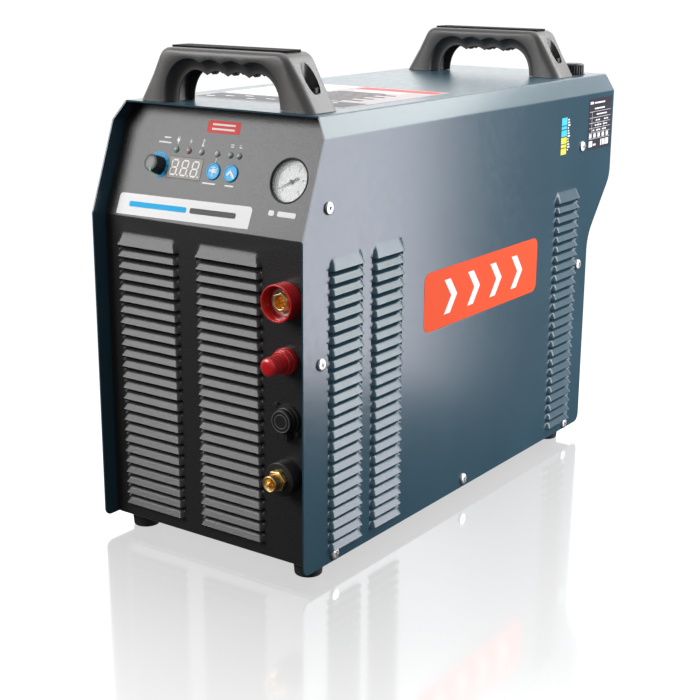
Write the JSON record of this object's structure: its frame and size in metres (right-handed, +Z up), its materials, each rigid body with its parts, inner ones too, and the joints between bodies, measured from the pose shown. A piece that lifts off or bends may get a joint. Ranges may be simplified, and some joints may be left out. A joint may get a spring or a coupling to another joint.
{
  "type": "plasma cutter unit",
  "caption": "Portable plasma cutter power source: louvred steel case with sloping control panel, front connectors, carrying handles, rear air regulator and rubber feet.",
  "frame": {"origin": "middle of the bounding box's underside, on the floor the rubber feet stand on", "axes": "+X to the unit's right side seen from the front, +Y from front to back along its length, +Z up"},
  "size_m": [0.247, 0.5955, 0.4588],
  "materials": {
    "cover_paint": "dark teal-blue powder paint, satin, fine texture",
    "powder_coat": "black fine-textured powder coat",
    "zinc_plate": "zinc-plated sheet steel",
    "rubber": "matt black rubber",
    "handle_plastic": "dark grey moulded plastic with spark texture",
    "black_plastic": "black moulded plastic",
    "red_plastic": "red moulded insulating plastic",
    "blue_button": "light blue push button",
    "grey_plastic": "light grey plastic",
    "dial_white": "white printed dial",
    "lens": "clear gauge window",
    "bowl_clear": "clear polycarbonate",
    "brass": "machined brass",
    "bolt_steel": "nickel-plated steel",
    "aluminium": "extruded or die-cast aluminium",
    "circuit_board": "green printed circuit board",
    "core_steel": "transformer core laminations",
    "copper": "enamelled copper winding",
    "air_hose": "blue pneumatic hose"
  },
  "bodies": {
    "housing": {"cover": "cover_paint", "front_panel": "powder_coat", "rear_panel": "powder_coat", "base_tray": "zinc_plate", "shelf": "zinc_plate", "foot_front_left": "rubber", "foot_front_right": "rubber", "foot_rear_left": "rubber", "foot_rear_right": "rubber", "front_handle": "handle_plastic", "rear_handle": "handle_plastic", "front_handle_bolt_left": "bolt_steel", "front_handle_bolt_right": "bolt_steel", "rear_handle_bolt_left": "bolt_steel", "rear_handle_bolt_right": "bolt_steel", "control_board": "circuit_board", "display_module": "grey_plastic", "current_potentiometer": "zinc_plate", "gauge_case": "black_plastic", "gauge_dial": "dial_white", "gauge_lens": "lens", "work_socket_shell": "red_plastic", "work_socket_contact": "brass", "pilot_post": "red_plastic", "pilot_stud": "brass", "control_socket": "black_plastic", "control_socket_pin": "bolt_steel", "torch_insulator": "black_plastic", "torch_fitting": "brass", "fan_frame_lower": "black_plastic", "fan_frame_upper": "black_plastic", "filter_regulator": "aluminium", "filter_bowl": "bowl_clear", "air_inlet": "brass", "power_switch": "grey_plastic", "cable_gland": "black_plastic", "earth_terminal": "brass", "heatsink_lower": "aluminium", "heatsink_upper": "aluminium", "igbt_module": "black_plastic", "rectifier_module": "black_plastic", "power_board": "circuit_board", "transformer_core": "core_steel", "transformer_coil": "copper", "output_choke": "copper", "solenoid_valve": "brass", "air_hose": "air_hose"},
    "current_control": {"current_knob": "black_plastic", "current_knob_cap": "grey_plastic", "current_knob_shaft": "bolt_steel"},
    "gas_test_button": {"gas_test_button": "blue_button"},
    "mode_button": {"mode_button": "blue_button"},
    "gauge_needle": {"gauge_needle": "black_plastic"},
    "pilot_cap": {"pilot_cap": "red_plastic"},
    "control_socket_cap": {"control_socket_cap": "black_plastic"},
    "regulator_knob": {"regulator_knob": "black_plastic"},
    "bowl_drain": {"bowl_drain": "black_plastic"},
    "power_switch_knob": {"power_switch_knob": "black_plastic"},
    "fan_rotor_lower": {"fan_rotor_lower": "black_plastic"},
    "fan_rotor_upper": {"fan_rotor_upper": "black_plastic"}
  },
  "joints": [
    {"name": "current_knob_turn", "type": "hinge", "parent": "housing", "child": "current_control", "pos_m": [-0.0675, -0.25235, 0.35351], "axis": [0, -0.9351, 0.3544], "range_deg": [0, 270]},
    {"name": "gas_test_press", "type": "slide", "parent": "housing", "child": "gas_test_button", "axis": [0, 0.9351, -0.3544], "range_m": [0, 0.0008], "stiffness_N_per_m": 500},
    {"name": "mode_press", "type": "slide", "parent": "housing", "child": "mode_button", "axis": [0, 0.9351, -0.3544], "range_m": [0, 0.0008], "stiffness_N_per_m": 500},
    {"name": "gauge_needle_turn", "type": "hinge", "parent": "housing", "child": "gauge_needle", "pos_m": [0.0803, -0.25235, 0.35351], "axis": [0, -0.9351, 0.3544], "range_deg": [-270, 0], "stiffness_Nm_per_rad": 0.00002},
    {"name": "pilot_cap_unscrew", "type": "hinge", "parent": "housing", "child": "pilot_cap", "pos_m": [0.091, -0.2896, 0.2021], "axis": [0, -1, 0], "range_deg": [0, 1080]},
    {"name": "control_socket_cap_swing", "type": "hinge", "parent": "housing", "child": "control_socket_cap", "pos_m": [0.091, -0.2762, 0.1341], "axis": [1, 0, 0], "range_deg": [0, 120], "stiffness_Nm_per_rad": 0.002},
    {"name": "regulator_knob_turn", "type": "hinge", "parent": "housing", "child": "regulator_knob", "pos_m": [0.0837, 0.2656, 0.411], "axis": [0, 0, 1], "range_deg": [-720, 720]},
    {"name": "bowl_drain_turn", "type": "hinge", "parent": "housing", "child": "bowl_drain", "pos_m": [0.0837, 0.2656, 0.278], "axis": [0, 0, 1], "range_deg": [0, 90]},
    {"name": "power_switch_turn", "type": "hinge", "parent": "housing", "child": "power_switch_knob", "pos_m": [-0.06, 0.2444, 0.3385], "axis": [0, 1, 0], "range_deg": [-90, 0]},
    {"name": "fan_lower_spin", "type": "hinge", "parent": "housing", "child": "fan_rotor_lower", "pos_m": [-0.045, 0.22, 0.0855], "axis": [0, 1, 0], "continuous": true},
    {"name": "fan_upper_spin", "type": "hinge", "parent": "housing", "child": "fan_rotor_upper", "pos_m": [-0.045, 0.22, 0.2135], "axis": [0, 1, 0], "continuous": true}
  ]
}
